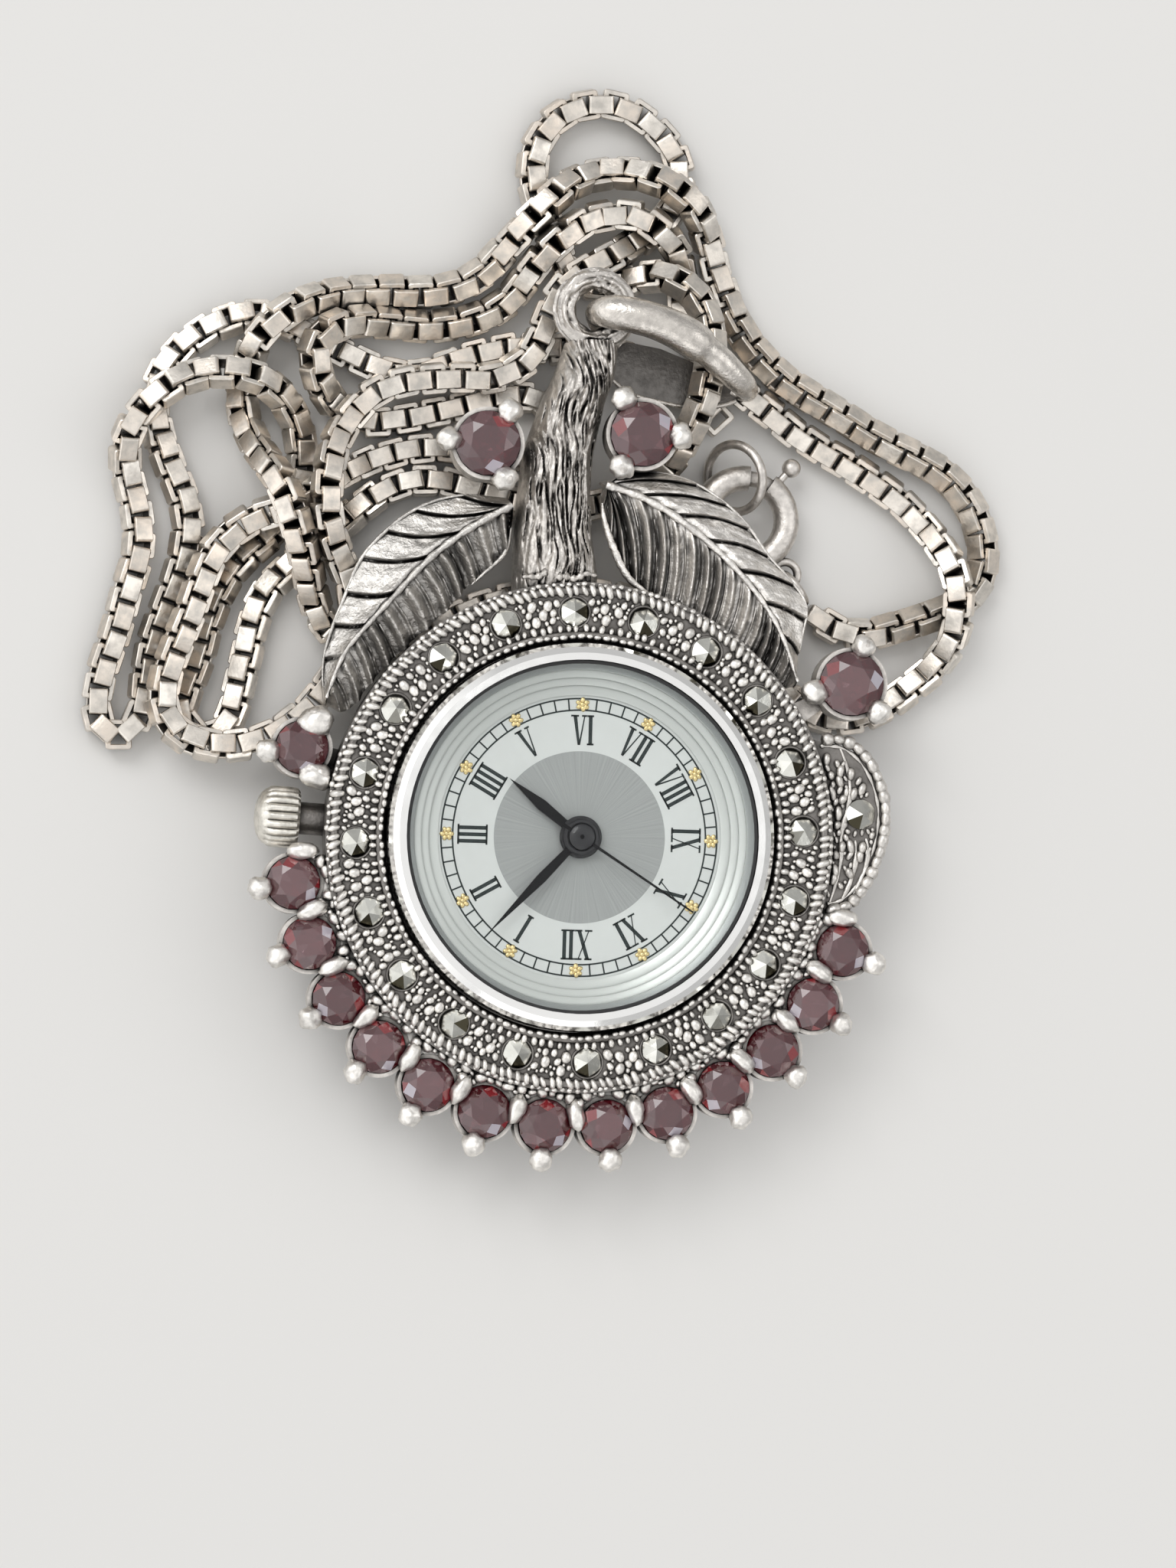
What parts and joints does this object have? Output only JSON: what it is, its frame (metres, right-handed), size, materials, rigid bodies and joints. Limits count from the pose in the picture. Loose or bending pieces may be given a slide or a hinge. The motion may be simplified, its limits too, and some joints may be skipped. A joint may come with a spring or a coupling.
{
  "type": "pendant watch",
  "caption": "Pendant watch with a round dial in a stone-set ring with leaves and a bark stem, a bail, and a fine box chain with a spring-ring clasp laid in loops.",
  "frame": {"origin": "middle of the flat outer face of the case back", "axes": "+Z out of the dial, +Y from the dial towards the stem and bail, +X to the right seen from the front"},
  "size_m": [0.0435, 0.0509, 0.0067],
  "materials": {
    "silver": "antique oxidised silver, dark in the recesses",
    "polished_case": "polished steel",
    "crystal": "clear domed mineral glass",
    "dial_silver": "satin silver dial with sunray middle",
    "hand_black": "gloss black",
    "garnet": "dark red faceted stone",
    "marcasite": "faceted pyrite with a metallic shine",
    "gasket_rubber": "black rubber",
    "movement_brass": "plain brass",
    "movement_steel": "plain steel",
    "battery_steel": "nickel-plated steel",
    "holder_plastic": "white plastic",
    "board_green": "green circuit board",
    "chip_black": "black resin",
    "coil_copper": "enamelled copper wire"
  },
  "bodies": {
    "watch": {"case_back": "polished_case", "case_middle": "polished_case", "case_back_gasket": "gasket_rubber", "bezel": "polished_case", "crystal": "crystal", "crystal_gasket": "gasket_rubber", "rehaut_ring": "dial_silver", "dial": "dial_silver", "frame_ring": "silver", "marcasites": "marcasite", "lower_gallery": "silver", "small_garnets": "garnet", "large_garnets": "garnet", "stem_garnet_settings": "silver", "shoulder_garnet_settings": "silver", "leaf_left": "silver", "leaf_right": "silver", "bark_stem": "silver", "side_lobe": "silver", "crown_tube": "polished_case", "main_plate": "movement_brass", "train_bridge": "movement_brass", "movement_holder": "holder_plastic", "movement_screws": "movement_steel", "battery": "battery_steel", "battery_clamp": "movement_steel", "circuit_board": "board_green", "chip": "chip_black", "quartz_oscillator": "movement_steel", "coil": "coil_copper", "stator": "movement_steel", "yoke": "movement_steel", "chain": "silver", "clasp_ring": "silver", "clasp_spring": "movement_steel", "clasp_jump_ring": "silver", "chain_end_ring": "silver"},
    "second_train": {"second_hand": "hand_black", "second_wheel": "movement_brass"},
    "minute_train": {"minute_hand": "hand_black", "cannon_pinion": "movement_brass", "centre_wheel": "movement_brass"},
    "hour_train": {"hour_hand": "hand_black", "hour_wheel": "movement_brass"},
    "third_train": {"third_wheel": "movement_brass"},
    "intermediate_train": {"intermediate_wheel": "movement_brass"},
    "motor_rotor": {"rotor": "movement_steel"},
    "minute_works": {"minute_wheel": "movement_brass"},
    "setting_works": {"setting_lever": "movement_steel"},
    "crown_stem": {"crown": "polished_case", "winding_stem": "movement_steel", "crown_gasket": "gasket_rubber"},
    "bail_loop": {"bail": "silver"},
    "clasp_trigger": {"clasp_latch": "silver"}
  },
  "joints": [
    {"name": "second_hand_spin", "type": "hinge", "parent": "watch", "child": "second_train", "pos_m": [0, 0, 0.0045], "axis": [0, 0, -1], "continuous": true},
    {"name": "minute_hand_spin", "type": "hinge", "parent": "watch", "child": "minute_train", "pos_m": [0, 0, 0.0045], "axis": [0, 0, -1], "continuous": true},
    {"name": "hour_hand_spin", "type": "hinge", "parent": "watch", "child": "hour_train", "pos_m": [0, 0, 0.0045], "axis": [0, 0, -1], "continuous": true},
    {"name": "third_wheel_spin", "type": "hinge", "parent": "watch", "child": "third_train", "pos_m": [0.00069, 0.00155, 0.0018], "axis": [0, 0, -1], "continuous": true},
    {"name": "intermediate_wheel_spin", "type": "hinge", "parent": "watch", "child": "intermediate_train", "pos_m": [-0.00145, 0.00098, 0.0018], "axis": [0, 0, -1], "continuous": true},
    {"name": "rotor_spin", "type": "hinge", "parent": "watch", "child": "motor_rotor", "pos_m": [-0.00185, 0.00179, 0.0018], "axis": [0, 0, -1], "continuous": true},
    {"name": "minute_wheel_spin", "type": "hinge", "parent": "watch", "child": "minute_works", "pos_m": [-0.00115, -0.00033, 0.0038], "axis": [0, 0, -1], "continuous": true},
    {"name": "crown_pull", "type": "slide", "parent": "watch", "child": "setting_works", "axis": [-0.9976, 0.0698, 0], "range_m": [0, 0.0006]},
    {"name": "crown_turn", "type": "hinge", "parent": "setting_works", "child": "crown_stem", "pos_m": [0, 0, 0.00295], "axis": [-0.9976, 0.0698, 0], "continuous": true},
    {"name": "bail_swing", "type": "hinge", "parent": "watch", "child": "bail_loop", "pos_m": [0.00085, 0.0246, 0.004], "axis": [0, 0, 1], "range_deg": [-5, 5]},
    {"name": "clasp_open", "type": "hinge", "parent": "watch", "child": "clasp_trigger", "pos_m": [0.0083, 0.0151, 0.0012], "axis": [0, 0, -1], "range_deg": [0, 38], "stiffness_Nm_per_rad": 0.002, "springref_deg": -20.05}
  ],
  "couplings": [
    {"joint": "minute_hand_spin", "follows": "second_hand_spin", "ratio": 0.016667},
    {"joint": "hour_hand_spin", "follows": "second_hand_spin", "ratio": 0.0013889},
    {"joint": "third_wheel_spin", "follows": "second_hand_spin", "ratio": -0.13333},
    {"joint": "intermediate_wheel_spin", "follows": "second_hand_spin", "ratio": -6},
    {"joint": "rotor_spin", "follows": "second_hand_spin", "ratio": 30},
    {"joint": "minute_wheel_spin", "follows": "second_hand_spin", "ratio": -0.0055556}
  ]
}
